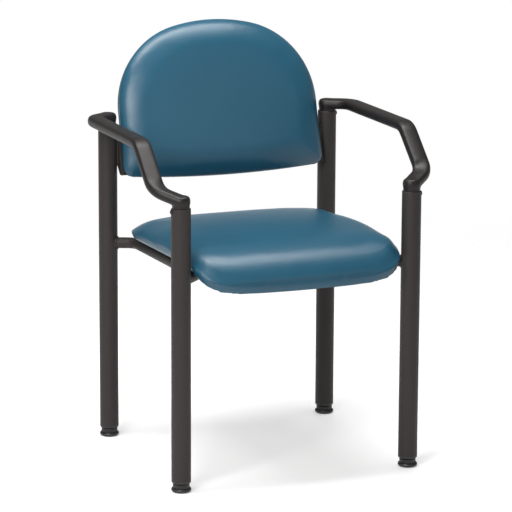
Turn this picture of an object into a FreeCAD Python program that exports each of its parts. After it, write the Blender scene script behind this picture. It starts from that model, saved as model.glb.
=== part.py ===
import FreeCAD, Part
import math
import os

from FreeCAD import Placement, Rotation, Vector

# Guest chair with arms: four steel tube legs, a welded seat frame, moulded arms, an upholstered
# seat and backrest, and screw-adjusted levelling glides.
# Millimetres. X runs across the chair, its front faces -Y, and Z is the height above the floor.

# Legs: round steel tube, square on plan
leg_diameter = 38.1
leg_wall = 2.0
leg_spacing_across = 480.0
leg_spacing_deep = 421.0
front_leg_top = 558.0
rear_leg_top = 648.0
leg_lower_end = 23.0
leg_lip_round = 1.2

# Levelling glides: a threaded ferrule in each leg, a stud with a ribbed collar, a swivel foot
ferrule_height = 5.0
ferrule_edge_round = 3.0
ferrule_plug_length = 22.0
plug_clearance = 0.1
stud_diameter = 8.0
stud_running_clearance = 0.05
stud_above_plug = 2.0
collar_diameter = 32.6
collar_height = 8.0
collar_gap = 1.5
collar_ribs = 24
collar_rib_depth = 0.8
foot_diameter = 39.2
foot_pad_diameter = 27.0
foot_rim_height = 5.5
foot_rim_thickness = 2.4
foot_dome_bulge = 1.8
swivel_disc_diameter = 14.0
swivel_disc_thickness = 2.5
swivel_disc_floor = 2.6
glide_clearance = 0.3

# Seat frame: two bent side rails and two straight cross rails, in one plane that rises to the front
rail_diameter = 22.2
rail_wall = 1.6
rail_height = 410.6
seat_pitch = 1.5
rail_inset = 50.0
rail_rear_angle = 26.0
rail_front_angle = 45.0
rail_bend_radius = 28.0
cross_rail_diameter = 19.0
cross_rail_wall = 1.5
front_cross_rail_setback = 100.0
rear_cross_rail_setback = 75.0
weld_gap = 0.15
weld_size = 2.0
weld_ground_off = 1.5

# Arms: moulded, oblong in section, plugged into the leg tubes
arm_width = 36.0
arm_thickness = 21.5
arm_edge_round = 7.5
arm_face_crown = 0.7
arm_outset = 38.3
arm_corner_run = 29.6
arm_rest_rise = 6.0
arm_rest_fall = 1.0
arm_front_corner_setback = 113.5
arm_lower_corner_rise = 30.0
arm_corner_radius = 44.0
arm_neck = 3.0
arm_end_swell = 0.5
arm_bend_steps = 5
arm_plug_length = 40.0
arm_plug_clearance = 0.15
arm_screw_diameter = 4.0
arm_screw_length = 14.0
arm_screw_head_diameter = 9.0
arm_screw_head_face = 4.5
arm_screw_head_height = 2.2
arm_screw_tip_room = 1.0
arm_screw_drop = 6.0

# Seat: a moulded plywood board with a rolled front edge, foam and vinyl over it
seat_side_gap = 1.2
seat_front_overhang = 49.0
seat_rear_gap = 22.5
seat_edge_height = 44.0
seat_crown = 7.0
seat_least_crown = 1.0
seat_widest_height = 19.0
seat_top_round = 34.0
seat_rear_corner_softness = 3.2
seat_front_corner_softness = 0.8
seat_corner_drop = 9.0
seat_corner_drop_power = 6
seat_corner_softness_power = 4
seat_bottom_round = 28.0
seat_front_tuck = 5.0
seat_nose_depth = 45.0
seat_crease_depth = 2.5
seat_crease_height = 4.0
seat_front_squareness = 7.0
seat_rear_squareness = 8.0
seat_section_shares = (0, 0.3, 0.55, 0.75, 0.87, 0.93, 0.965, 0.985, 0.998)
roll_start_setback = 52.0
roll_radius = 130.0
roll_middle_sag = 0.09
roll_corner_ease = 0.22
roll_corner_ease_power = 3
seat_board_thickness = 12.0
seat_board_inset = 30.0
seat_board_corner = 40.0
seat_board_front_bow = 14.0
dust_cover_thickness = 1.0
dust_cover_inset = 28.0
dust_cover_corner = 30.0

# Backrest: arched pad on a plywood board, with a moulded shell behind
back_recline = 16.0
back_set_forward = 0.8
back_side_gap = 5.6
back_flare = 2.6
back_top = 201.6
back_bottom = -108.5
back_arch_start = 24.3
back_shoulder_radius = 172.0
back_bottom_corner = 22.0
back_bottom_sag = 10.4
back_least_corner = 6.0
back_pad_depth = 37.0
back_dome_radius = 2500.0
back_edge_round = 20.0
back_seam_round = 2.2
back_board_thickness = 10.0
back_board_inset = 9.0
back_shell_depth = 19.0
back_shell_inset = 3.0
back_shell_wall = 3.0
back_shell_round = 12.0
shell_boss_diameter = 13.0
shell_screw_diameter = 4.0
shell_screw_length = 24.0
shell_screw_head_diameter = 8.0
shell_screw_head_height = 2.4
shell_screw_across = 130.0
shell_screw_upper = 110.0
shell_screw_lower = -60.0
bracket_thickness = 4.0
bracket_tab_width = 62.0
bracket_tab_height = 74.0
bracket_tab_lower = -104.0
bracket_bead = 4.0
bracket_bead_set_back = 1.0

# Bolts that hold the seat and backrest, with tee nuts in the boards
bolt_diameter = 6.0
bolt_hole_clearance = 0.3
bolt_head_diameter = 11.0
bolt_head_height = 3.3
tee_nut_flange_diameter = 18.0
tee_nut_flange_thickness = 1.5
tee_nut_barrel_diameter = 8.4
tee_nut_clearance = 0.1
seat_bolt_across = 120.0
back_bolt_edge = 16.0

# Gap between soft or separately made pieces that lie against each other
fit_gap = 0.3

# How near to straight, level or upright counts as such
straight_tolerance = 1e-4
level_tolerance = 0.01

# Values that follow from the sizes above
leg_radius = leg_diameter / 2
leg_bore = leg_radius - leg_wall
leg_x = leg_spacing_across / 2
leg_y = leg_spacing_deep / 2
rail_radius = rail_diameter / 2
rail_x = leg_x - rail_inset
cross_rail_lift = rail_radius - cross_rail_diameter / 2
stud_radius = stud_diameter / 2
collar_top = leg_lower_end - ferrule_height - collar_gap
seat_half_width = leg_x - leg_radius - seat_side_gap
seat_front = -leg_y - seat_front_overhang
seat_rear = leg_y - seat_rear_gap
seat_middle = (seat_front + seat_rear) / 2
seat_bottom = rail_radius + plug_clearance + dust_cover_thickness + 2 * fit_gap
roll_start = -leg_y + roll_start_setback
back_half_width = leg_x - leg_radius - back_side_gap

up = Vector(0, 0, 1)
across = Vector(1, 0, 0)
seat_frame = Placement(Vector(0, 0, rail_height), Rotation(across, -seat_pitch))
back_frame = Placement(
    Vector(0, leg_y - back_set_forward, rear_leg_top), Rotation(across, 90 - back_recline)
)
leg_places = {
    "front_left": (-1, -1),
    "front_right": (1, -1),
    "rear_left": (-1, 1),
    "rear_right": (1, 1),
}


def curve(start, middle, end):
    """An arc through three points, or a straight edge where they are in line."""
    chord = end - start
    if (middle - start).cross(chord).Length < straight_tolerance * chord.Length**2:
        return Part.LineSegment(start, end).toShape()
    return Part.Arc(start, middle, end).toShape()


def line(start, end):
    return Part.LineSegment(start, end).toShape()


def round_solid(edges):
    """A solid of revolution about Z from a closed outline in the XZ plane."""
    return Part.Face(Part.Wire(edges)).revolve(Vector(0, 0, 0), up, 360)


def rounded_path(points, radius):
    """Straight runs joined by tangent arcs of one radius, as a list of edges."""
    edges = []
    last = points[0]
    for before, corner, after in zip(points, points[1:], points[2:]):
        back = (before - corner).normalize()
        ahead = (after - corner).normalize()
        half_angle = back.getAngle(ahead) / 2
        run = radius / math.tan(half_angle)
        bisector = (back + ahead).normalize()
        middle = corner + bisector * (radius / math.sin(half_angle) - radius)
        edges.append(line(last, corner + back * run))
        edges.append(curve(corner + back * run, middle, corner + ahead * run))
        last = corner + ahead * run
    edges.append(line(last, points[-1]))
    return edges


def pipe(edges, radius):
    """A round bar along a path."""
    start = edges[0].valueAt(edges[0].FirstParameter)
    heading = edges[0].tangentAt(edges[0].FirstParameter)
    section = Part.Wire(Part.makeCircle(radius, start, heading))
    return Part.Wire(edges).makePipeShell([section], True, False)


def cylinder(radius, start, end):
    return Part.makeCylinder(radius, (end - start).Length, start, end - start)


def leg_bar(side, end, radius):
    """A round bar along a leg's axis, past both its ends."""
    return Part.makeCylinder(radius, rear_leg_top, Vector(side * leg_x, end * leg_y, 0))


def leg_top(end):
    return rear_leg_top if end > 0 else front_leg_top


def arm_screw_axis(side, end):
    """Where an arm screw meets the leg's outer face, and the way that it points in."""
    return (
        Vector(side * (leg_x + leg_radius), end * leg_y, leg_top(end) - arm_screw_drop),
        Vector(-side, 0, 0),
    )


def make_leg(side, end):
    top = leg_top(end)
    slope = leg_lip_round * (1 - math.sqrt(0.5))
    edges = [
        line(Vector(leg_bore, 0, leg_lower_end), Vector(leg_radius, 0, leg_lower_end)),
        line(Vector(leg_radius, 0, leg_lower_end), Vector(leg_radius, 0, top - leg_lip_round)),
        curve(
            Vector(leg_radius, 0, top - leg_lip_round),
            Vector(leg_radius - slope, 0, top - slope),
            Vector(leg_radius - leg_lip_round, 0, top),
        ),
        line(Vector(leg_radius - leg_lip_round, 0, top), Vector(leg_bore, 0, top)),
        line(Vector(leg_bore, 0, top), Vector(leg_bore, 0, leg_lower_end)),
    ]
    tube = round_solid(edges).translated(Vector(side * leg_x, end * leg_y, 0))
    start, inward = arm_screw_axis(side, end)
    hole_radius = arm_screw_diameter / 2 + plug_clearance
    return tube.cut(cylinder(hole_radius, start - inward * leg_wall, start + inward * leg_radius))


def make_ferrule():
    """Threaded plastic ferrule: a plug in the tube and a flange that carries the tube's end."""
    bottom = leg_lower_end - ferrule_height
    seat = leg_lower_end - plug_clearance
    top = leg_lower_end + ferrule_plug_length
    plug = leg_bore - plug_clearance
    bore = stud_radius + stud_running_clearance
    edge = ferrule_edge_round
    slope = edge * (1 - math.sqrt(0.5))
    edges = [
        line(Vector(bore, 0, bottom), Vector(leg_radius - edge, 0, bottom)),
        curve(
            Vector(leg_radius - edge, 0, bottom),
            Vector(leg_radius - slope, 0, bottom + slope),
            Vector(leg_radius, 0, bottom + edge),
        ),
        line(Vector(leg_radius, 0, bottom + edge), Vector(leg_radius, 0, seat)),
        line(Vector(leg_radius, 0, seat), Vector(plug, 0, seat)),
        line(Vector(plug, 0, seat), Vector(plug, 0, top)),
        line(Vector(plug, 0, top), Vector(bore, 0, top)),
        line(Vector(bore, 0, top), Vector(bore, 0, bottom)),
    ]
    return round_solid(edges)


def make_stud():
    """Plain-modelled threaded stud with the swivel disc that the foot is snapped over."""
    top = leg_lower_end + ferrule_plug_length + stud_above_plug
    shank = Part.makeCylinder(stud_radius, top - swivel_disc_floor, Vector(0, 0, swivel_disc_floor))
    disc = Part.makeCylinder(
        swivel_disc_diameter / 2, swivel_disc_thickness, Vector(0, 0, swivel_disc_floor)
    )
    return shank.fuse(disc).removeSplitter()


def make_collar():
    """Collar moulded on the stud, ribbed round its edge to be turned by hand."""
    bottom = collar_top - collar_height
    radius = collar_diameter / 2
    collar = Part.makeCylinder(radius, collar_height, Vector(0, 0, bottom))
    groove = Part.makeCylinder(collar_rib_depth, collar_height, Vector(radius, 0, bottom))
    for index in range(collar_ribs):
        turn = Rotation(up, 360.0 * index / collar_ribs)
        collar = collar.cut(groove.transformed(Placement(Vector(), turn).toMatrix()))
    bore = Part.makeCylinder(stud_radius + plug_clearance, collar_height, Vector(0, 0, bottom))
    return collar.cut(bore)


def make_foot():
    """Swivel foot: flat pad, domed up to a rim, with the undercut pocket for the stud's disc."""
    pad = foot_pad_diameter / 2
    rim = foot_diameter / 2
    rim_top = foot_rim_height + foot_rim_thickness
    neck = collar_diameter / 2 - collar_rib_depth
    top = collar_top - collar_height - glide_clearance
    mouth = stud_radius + glide_clearance
    pocket = swivel_disc_diameter / 2 + glide_clearance
    pocket_floor = swivel_disc_floor - glide_clearance
    pocket_roof = swivel_disc_floor + swivel_disc_thickness + glide_clearance
    flare = Vector(rim - pad, 0, foot_rim_height)
    outward = Vector(flare.z, 0, -flare.x).normalize()
    bulge = Vector(pad, 0, 0) + flare * 0.5 + outward * foot_dome_bulge
    edges = [
        line(Vector(0, 0, 0), Vector(pad, 0, 0)),
        curve(Vector(pad, 0, 0), bulge, Vector(rim, 0, foot_rim_height)),
        line(Vector(rim, 0, foot_rim_height), Vector(rim - foot_rim_thickness / 2, 0, rim_top)),
        line(Vector(rim - foot_rim_thickness / 2, 0, rim_top), Vector(neck, 0, top)),
        line(Vector(neck, 0, top), Vector(mouth, 0, top)),
        line(Vector(mouth, 0, top), Vector(mouth, 0, pocket_roof)),
        line(Vector(mouth, 0, pocket_roof), Vector(pocket, 0, pocket_roof)),
        line(Vector(pocket, 0, pocket_roof), Vector(pocket, 0, pocket_floor)),
        line(Vector(pocket, 0, pocket_floor), Vector(0, 0, pocket_floor)),
        line(Vector(0, 0, pocket_floor), Vector(0, 0, 0)),
    ]
    return round_solid(edges)


def side_rail_path(side):
    """Centre line of a side rail in the seat frame's plane, from rear leg to front leg."""
    rear_corner = leg_y - rail_inset * math.tan(math.radians(rail_rear_angle))
    front_corner = -leg_y + rail_inset * math.tan(math.radians(rail_front_angle))
    points = [
        Vector(side * leg_x, leg_y, 0),
        Vector(side * rail_x, rear_corner, 0),
        Vector(side * rail_x, front_corner, 0),
        Vector(side * leg_x, -leg_y, 0),
    ]
    return rounded_path(points, rail_bend_radius)


def make_side_rail(side):
    path = side_rail_path(side)
    tube = pipe(path, rail_radius).cut(pipe(path, rail_radius - rail_wall))
    tube = tube.transformed(seat_frame.toMatrix())
    for end in (-1, 1):
        tube = tube.cut(leg_bar(side, end, leg_radius + weld_gap))
    return max(tube.Solids, key=lambda solid: solid.Volume)


def cross_rail_places():
    return {
        "front_cross_rail": -leg_y + front_cross_rail_setback,
        "rear_cross_rail": leg_y - rear_cross_rail_setback,
    }


def seat_bolt_places():
    """On the middle line of each cross rail, in the seat frame."""
    depths = cross_rail_places().values()
    return [Vector(side * seat_bolt_across, depth, 0) for side in (-1, 1) for depth in depths]


def make_cross_rail(depth):
    """Straight tube between the side rails, its ends coped to them."""
    start = Vector(-rail_x, depth, cross_rail_lift)
    end = Vector(rail_x, depth, cross_rail_lift)
    radius = cross_rail_diameter / 2
    tube = cylinder(radius, start, end).cut(cylinder(radius - cross_rail_wall, start, end))
    hole = bolt_diameter / 2 + bolt_hole_clearance
    for side in (-1, 1):
        tube = tube.cut(pipe(side_rail_path(side), rail_radius + weld_gap))
        place = Vector(side * seat_bolt_across, depth, 0)
        tube = tube.cut(cylinder(hole, place - up * rail_diameter, place + up * rail_diameter))
    return tube.transformed(seat_frame.toMatrix())


def bead(bar, bar_grown, post, post_grown):
    """The ring of weld in the corner between a bar and the post that it runs into."""
    return bar_grown.common(post_grown).cut(post).cut(bar)


def seat_room():
    """The room that the seat needs, down to where the welds are ground off and to its rolled front."""
    half = seat_half_width + 2 * fit_gap
    deep = seat_rear - seat_front
    ground = Vector(-half, seat_front, rail_radius - weld_ground_off)
    flat = Part.makeBox(2 * half, deep, seat_edge_height, ground)
    roll = Part.makeBox(2 * half, roll_start - seat_front, seat_edge_height, Vector(-half, seat_front, 0))
    return flat.fuse(roll).transformed(seat_frame.toMatrix())


def make_frame_welds():
    beads = []
    room = seat_room()
    place = seat_frame.toMatrix()
    for side in (-1, 1):
        path = side_rail_path(side)
        rail = pipe(path, rail_radius).transformed(place)
        rail_grown = pipe(path, rail_radius + weld_size).transformed(place)
        for end in (-1, 1):
            post = leg_bar(side, end, leg_radius)
            post_grown = leg_bar(side, end, leg_radius + weld_size)
            beads.append(bead(rail, rail_grown, post, post_grown))
        for depth in cross_rail_places().values():
            start = Vector(0, depth, cross_rail_lift)
            end = Vector(side * rail_x, depth, cross_rail_lift)
            radius = cross_rail_diameter / 2
            bar = cylinder(radius, start, end).transformed(place)
            bar_grown = cylinder(radius + weld_size, start, end).transformed(place)
            beads.append(bead(bar, bar_grown, rail, rail_grown))
    return [solid for ring in beads for solid in ring.cut(room).Solids]


def arm_corners(half_width, half_height):
    """Where the arm section's crowned faces meet its rounded edges, in the upper right quarter."""
    side = (half_width - arm_face_crown, half_height - arm_edge_round)
    top = (half_width - arm_edge_round, half_height - arm_face_crown)
    reach = (arm_edge_round - arm_face_crown) * math.sqrt(0.5)
    middle = (half_width - arm_edge_round + reach, half_height - arm_edge_round + reach)
    return side, middle, top


def arm_section(place, heading):
    """The arm's oblong section, square to its path and with its wide way level."""
    wide = Vector(heading.y, -heading.x, 0).normalize()
    thick = wide.cross(heading).normalize()
    half_width = arm_width / 2
    half_height = arm_thickness / 2
    side, middle, top = arm_corners(half_width, half_height)

    def spot(pair, x_sign, y_sign):
        return place + wide * (pair[0] * x_sign) + thick * (pair[1] * y_sign)

    edges = []
    quarters = [(1, 1), (-1, 1), (-1, -1), (1, -1)]
    for quarter, after in zip(quarters, quarters[1:] + quarters[:1]):
        first, last = (side, top) if quarter[0] == quarter[1] else (top, side)
        face = (0, half_height) if quarter[0] != after[0] else (half_width, 0)
        edges.append(curve(spot(first, *quarter), spot(middle, *quarter), spot(last, *quarter)))
        edges.append(curve(spot(last, *quarter), spot(face, *quarter), spot(last, *after)))
    return Part.Wire(edges)


def arm_knob():
    """The arm's round end above a leg: its section turned about the leg's axis."""
    width = arm_width / 2 + arm_end_swell
    height = arm_thickness / 2 + arm_end_swell
    upper = [Vector(out, 0, rise) for out, rise in arm_corners(width, height)]
    lower = [Vector(point.x, 0, -point.z) for point in upper]
    side, middle, top = range(3)
    crown = Vector(0, 0, height)
    edges = [
        line(-crown, lower[top]),
        curve(lower[top], lower[middle], lower[side]),
        curve(lower[side], Vector(width, 0, 0), upper[side]),
        curve(upper[side], upper[middle], upper[top]),
        line(upper[top], crown),
        line(crown, -crown),
    ]
    return round_solid(edges)


def arm_end(side, end):
    """Middle of the arm's end, above a leg."""
    return Vector(side * leg_x, end * leg_y, leg_top(end) + arm_neck + arm_thickness / 2)


def make_arm(side):
    rear = arm_end(side, 1)
    front = arm_end(side, -1)
    outer = side * (leg_x + arm_outset)
    rest_height = rear_leg_top + arm_thickness / 2 + arm_rest_rise
    points = [
        rear,
        Vector(outer, leg_y - arm_corner_run, rest_height - arm_rest_fall),
        Vector(outer, -leg_y + arm_front_corner_setback, rest_height),
        Vector(outer, -leg_y + arm_corner_run, front_leg_top + arm_lower_corner_rise),
        front,
    ]
    runs = []
    for edge in rounded_path(points, arm_corner_radius):
        first, last = edge.ParameterRange
        bent = isinstance(edge.Curve, Part.Circle)
        steps = arm_bend_steps if bent else 1
        spots = [first + (last - first) * step / steps for step in range(steps + 1)]
        sections = [arm_section(edge.valueAt(spot), edge.tangentAt(spot)) for spot in spots]
        runs.append(Part.makeLoft(sections, True, not bent))
    arm = runs[0].multiFuse(runs[1:]).removeSplitter()
    knob = arm_knob()
    plug_radius = leg_bore - arm_plug_clearance
    for end, middle in ((1, rear), (-1, front)):
        foot = Vector(middle.x, middle.y, leg_top(end) - arm_plug_length)
        arm = arm.fuse(knob.translated(middle)).fuse(cylinder(plug_radius, foot, middle))
    for end in (1, -1):
        start, inward = arm_screw_axis(side, end)
        pilot = arm_screw_diameter / 2 + plug_clearance
        arm = arm.cut(cylinder(pilot, start, start + inward * (arm_screw_length + arm_screw_tip_room)))
    return arm


def make_arm_screws():
    """Button-headed screws through the legs' outer faces into the arms' plugs."""
    screws = []
    for side, end in leg_places.values():
        start, inward = arm_screw_axis(side, end)
        seat = start - inward * plug_clearance
        shank = cylinder(arm_screw_diameter / 2, seat, start + inward * arm_screw_length)
        wide = arm_screw_head_diameter / 2
        narrow = arm_screw_head_face / 2
        screws.append(shank.fuse(Part.makeCone(wide, narrow, arm_screw_head_height, seat, -inward)))
    return screws


def roll_drop(depth, radius):
    """How far the rolled front edge has dropped below the flat of the seat."""
    past = max(0.0, roll_start - depth)
    return past * past / (2 * radius)


def seat_section(place):
    """The seat cushion cut square across the chair, at a place across its width."""
    share = abs(place) / seat_half_width
    front = seat_middle + (seat_front - seat_middle) * (
        1 - share**seat_front_squareness
    ) ** (1 / seat_front_squareness)
    rear = seat_middle + (seat_rear - seat_middle) * (
        1 - share**seat_rear_squareness
    ) ** (1 / seat_rear_squareness)
    edge = seat_half_width - abs(place)
    lift = math.sqrt(1 - max(0.0, 1 - edge / seat_top_round) ** 2)
    tuck = math.sqrt(1 - max(0.0, 1 - edge / seat_bottom_round) ** 2)
    widest = seat_bottom + seat_widest_height
    low = widest - seat_widest_height * tuck
    crown = seat_crown * (1 - share * share)
    high = widest + (seat_edge_height - seat_widest_height) * lift
    corner_drop = seat_corner_drop * share**seat_corner_drop_power * lift
    softness = share**seat_corner_softness_power
    bow = 1 + roll_middle_sag - roll_corner_ease * share**roll_corner_ease_power

    def under(depth):
        return low - bow * roll_drop(depth, roll_radius)

    def over(depth):
        return high - corner_drop - bow * roll_drop(depth, roll_radius + seat_edge_height)

    roll = front + roll_start - seat_front
    lip = front + seat_front_tuck
    crease = front + seat_crease_depth
    nose = front + seat_nose_depth * (1 + seat_front_corner_softness * softness)
    band_top = under(front) + seat_widest_height * tuck
    crease_height = band_top + seat_crease_height * lift
    nose_height = over(nose)
    rear_round = seat_top_round * (1 + seat_rear_corner_softness * softness)
    rear_top = rear - rear_round
    top_middle = (nose + rear_top) / 2
    rear_low = rear - seat_bottom_round
    bend = math.sqrt(0.5)
    corners = [
        Vector(place, rear_low, low),
        Vector(place, roll, under(roll)),
        Vector(place, lip, under(lip)),
        Vector(place, front, band_top),
        Vector(place, crease, crease_height),
        Vector(place, nose, nose_height),
        Vector(place, rear_top, over(rear_top)),
        Vector(place, rear, widest),
    ]
    roll_half = (roll + lip) / 2
    nose_bulge = Vector(
        place,
        crease + (1 - bend) * (nose - crease),
        crease_height + bend * (nose_height - crease_height),
    )
    middles = {
        1: Vector(place, roll_half, under(roll_half)),
        4: nose_bulge,
        5: Vector(place, top_middle, high + seat_least_crown + crown),
        6: Vector(place, rear_top + bend * rear_round, widest + bend * (over(rear_top) - widest)),
        7: Vector(place, rear_low + bend * seat_bottom_round, widest - bend * (widest - low)),
    }
    edges = []
    for index, start in enumerate(corners):
        end = corners[(index + 1) % len(corners)]
        if index in middles:
            edges.append(curve(start, middles[index], end))
        else:
            edges.append(line(start, end))
    return Part.Wire(edges)


def seat_board_shape(grow, deeper):
    """The moulded seat board, grown all round by a clearance and deepened below by another."""
    front = seat_front + seat_board_inset - grow
    rear = seat_rear - seat_board_inset + grow
    half = seat_half_width - seat_board_inset + grow
    low = seat_bottom + fit_gap - grow - deeper
    high = seat_bottom + fit_gap + seat_board_thickness + grow
    roll_half = (roll_start + front) / 2
    upper_radius = roll_radius + seat_board_thickness

    def under(depth):
        return Vector(-half, depth, low - roll_drop(depth, roll_radius))

    def over(depth):
        return Vector(-half, depth, high - roll_drop(depth, upper_radius))

    profile = [
        line(under(rear), under(roll_start)),
        curve(under(roll_start), under(roll_half), under(front)),
        line(under(front), over(front)),
        curve(over(front), over(roll_half), over(roll_start)),
        line(over(roll_start), over(rear)),
        line(over(rear), under(rear)),
    ]
    slab = Part.Face(Part.Wire(profile)).extrude(across * (2 * half))
    return slab.common(plan_prism(half, front, rear, seat_board_corner + grow, seat_board_front_bow))


def plan_prism(half, front, rear, corner, bow):
    """A tall prism on a plan with rounded corners and a bowed front edge."""
    floor = -rail_height
    start = Vector(0, rear, floor)
    right = [start, Vector(half, rear, floor), Vector(half, front + bow, floor), Vector(0, front, floor)]
    edges = rounded_path(right, corner)
    mirror = [Vector(-point.x, point.y, point.z) for point in right]
    edges += rounded_path(mirror, corner)
    return Part.Face(Part.Wire(Part.__sortEdges__(edges))).extrude(up * (2 * rail_height))


def make_seat_cushion():
    right = [share * seat_half_width for share in seat_section_shares]
    places = [-place for place in reversed(right[1:])] + right
    form = Part.makeLoft([seat_section(place) for place in places], True, False)
    return form.cut(seat_board_shape(fit_gap, seat_board_thickness))


def seat_bolt_hole(place, radius, low, high):
    return cylinder(radius, place + up * low, place + up * high)


def make_seat_board():
    board = seat_board_shape(0, 0)
    top = seat_bottom + fit_gap + seat_board_thickness
    barrel = tee_nut_barrel_diameter / 2 + tee_nut_clearance
    flange = tee_nut_flange_diameter / 2 + tee_nut_clearance
    sunk = tee_nut_flange_thickness + tee_nut_clearance
    for place in seat_bolt_places():
        board = board.cut(seat_bolt_hole(place, barrel, 0, top))
        board = board.cut(seat_bolt_hole(place, flange, top - sunk, top + sunk))
    return board


def make_dust_cover():
    """Black cloth under the seat board, between the board and the rails."""
    half = seat_half_width - dust_cover_inset
    rear = seat_rear - dust_cover_inset
    prism = plan_prism(half, roll_start, rear, dust_cover_corner, 0)
    low = rail_radius + plug_clearance
    sheet = prism.common(
        Part.makeBox(2 * half, rear - roll_start, dust_cover_thickness, Vector(-half, roll_start, low))
    )
    hole = bolt_diameter / 2 + bolt_hole_clearance
    for place in seat_bolt_places():
        sheet = sheet.cut(seat_bolt_hole(place, hole, 0, seat_bottom))
    return sheet


def bolt(head_seat, tip):
    """A round-headed bolt whose head bears on head_seat."""
    direction = (tip - head_seat).normalize()
    head = cylinder(bolt_head_diameter / 2, head_seat - direction * bolt_head_height, head_seat)
    return head.fuse(cylinder(bolt_diameter / 2, head_seat, tip))


def tee_nut(flange_face, direction, length):
    """A tee nut whose flange's outer face is at flange_face and whose barrel points in direction."""
    flange_end = flange_face + direction * tee_nut_flange_thickness
    nut = cylinder(tee_nut_flange_diameter / 2, flange_face, flange_end)
    nut = nut.fuse(cylinder(tee_nut_barrel_diameter / 2, flange_face, flange_face + direction * length))
    bore = bolt_diameter / 2 + stud_running_clearance
    return nut.cut(cylinder(bore, flange_face, flange_face + direction * length))


def make_seat_bolts():
    top = seat_bottom + fit_gap + seat_board_thickness - plug_clearance
    under = cross_rail_lift - cross_rail_diameter / 2
    return [bolt(place + up * under, place + up * top) for place in seat_bolt_places()]


def make_seat_tee_nuts():
    top = seat_bottom + fit_gap + seat_board_thickness
    length = seat_board_thickness - 2 * plug_clearance
    return [tee_nut(place + up * top, -up, length) for place in seat_bolt_places()]


def back_outline(inset, level):
    """The backrest's arched outline with square lower corners, drawn in by inset, at one level."""
    half = back_half_width - inset
    bottom = back_bottom + inset
    shoulder = back_shoulder_radius - inset
    rise = back_top - inset - back_arch_start
    inner = half - shoulder
    crown = (inner * inner + rise * rise - shoulder * shoulder) / (2 * (rise - shoulder))
    slope = Vector(inner, crown - rise, 0).normalize()
    centre = Vector(inner, back_arch_start, 0)
    right = [
        Vector(half + back_flare, bottom, 0),
        Vector(half + back_flare / 4, (bottom + back_arch_start) / 2, 0),
        Vector(half, back_arch_start, 0),
        centre + (slope + across).normalize() * shoulder,
        centre + slope * shoulder,
    ]
    right = [point + up * level for point in right]
    left = [Vector(-point.x, point.y, point.z) for point in right]
    low = Vector(0, bottom - back_bottom_sag, level)
    high = Vector(0, back_top - inset, level)
    return Part.Wire(
        [
            curve(left[0], low, right[0]),
            curve(right[0], right[1], right[2]),
            curve(right[2], right[3], right[4]),
            curve(right[4], high, left[4]),
            curve(left[4], left[3], left[2]),
            curve(left[2], left[1], left[0]),
        ]
    )


def back_prism(inset, low, high):
    """The backrest's outline as a straight-sided block with rounded lower corners."""
    block = Part.Face(back_outline(inset, low)).extrude(up * (high - low))
    steep = 1 - level_tolerance
    upright = [edge for edge in block.Edges if abs(edge.tangentAt(edge.FirstParameter).z) > steep]
    lowest = sorted(upright, key=lambda edge: edge.CenterOfMass.y)[:2]
    return block.makeFillet(max(back_bottom_corner - inset, back_least_corner), lowest)


def edges_at(shape, level):
    """The edges that lie wholly at one level of the backrest's frame."""
    found = []
    for edge in shape.Edges:
        if max(abs(corner.Z - level) for corner in edge.Vertexes) < level_tolerance:
            found.append(edge)
    return found


def make_back_cushion():
    """Foam and vinyl pad: domed in front, full at its side and drawn in at its seam behind."""
    middle = (back_top + back_bottom) / 2
    dome = Part.makeSphere(back_dome_radius)
    dome.rotate(Vector(), across, 90)
    dome.translate(Vector(0, middle, back_pad_depth - back_dome_radius))
    pad = back_prism(0, 0, back_pad_depth).common(dome)
    rim = [edge for face in pad.Faces if isinstance(face.Surface, Part.Sphere) for edge in face.Edges]
    pad = pad.makeFillet(back_edge_round, rim)
    pad = pad.makeFillet(back_seam_round, edges_at(pad, 0))
    pocket = back_prism(
        back_board_inset - fit_gap, -back_board_thickness, back_board_thickness + 2 * fit_gap
    )
    return pad.cut(pocket)


def back_bolt_places(side):
    """Where the bracket's bolts pass through the backrest's board, in the backrest's frame."""
    reach = side * (back_half_width + back_flare - bracket_tab_width + back_bolt_edge)
    low = bracket_tab_lower + back_bolt_edge
    high = bracket_tab_lower + bracket_tab_height - back_bolt_edge
    return [Vector(reach, low, 0), Vector(reach, high, 0)]


def shell_screw_places():
    heights = (shell_screw_lower, shell_screw_upper)
    return [Vector(side * shell_screw_across, height, 0) for side in (-1, 1) for height in heights]


def make_back_board():
    board = back_prism(back_board_inset, fit_gap, fit_gap + back_board_thickness)
    front = fit_gap + back_board_thickness
    sunk = tee_nut_flange_thickness + tee_nut_clearance
    barrel = tee_nut_barrel_diameter / 2 + tee_nut_clearance
    flange = tee_nut_flange_diameter / 2 + tee_nut_clearance
    for side in (-1, 1):
        for place in back_bolt_places(side):
            board = board.cut(cylinder(barrel, place, place + up * front))
            board = board.cut(cylinder(flange, place + up * (front - sunk), place + up * (front + sunk)))
    pilot = shell_screw_diameter / 2 + plug_clearance
    for place in shell_screw_places():
        board = board.cut(cylinder(pilot, place, place + up * front))
    return board


def bracket_tab(grow):
    """The bracket's flat tab against the back of the board, for the right-hand side."""
    outer = leg_x - leg_radius - plug_clearance
    inner = back_half_width + back_flare - bracket_tab_width
    return Part.makeBox(
        outer - inner + 2 * grow,
        bracket_tab_height + 2 * grow,
        bracket_thickness + 2 * grow,
        Vector(inner - grow, bracket_tab_lower - grow, -fit_gap - bracket_thickness - grow),
    )


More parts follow.
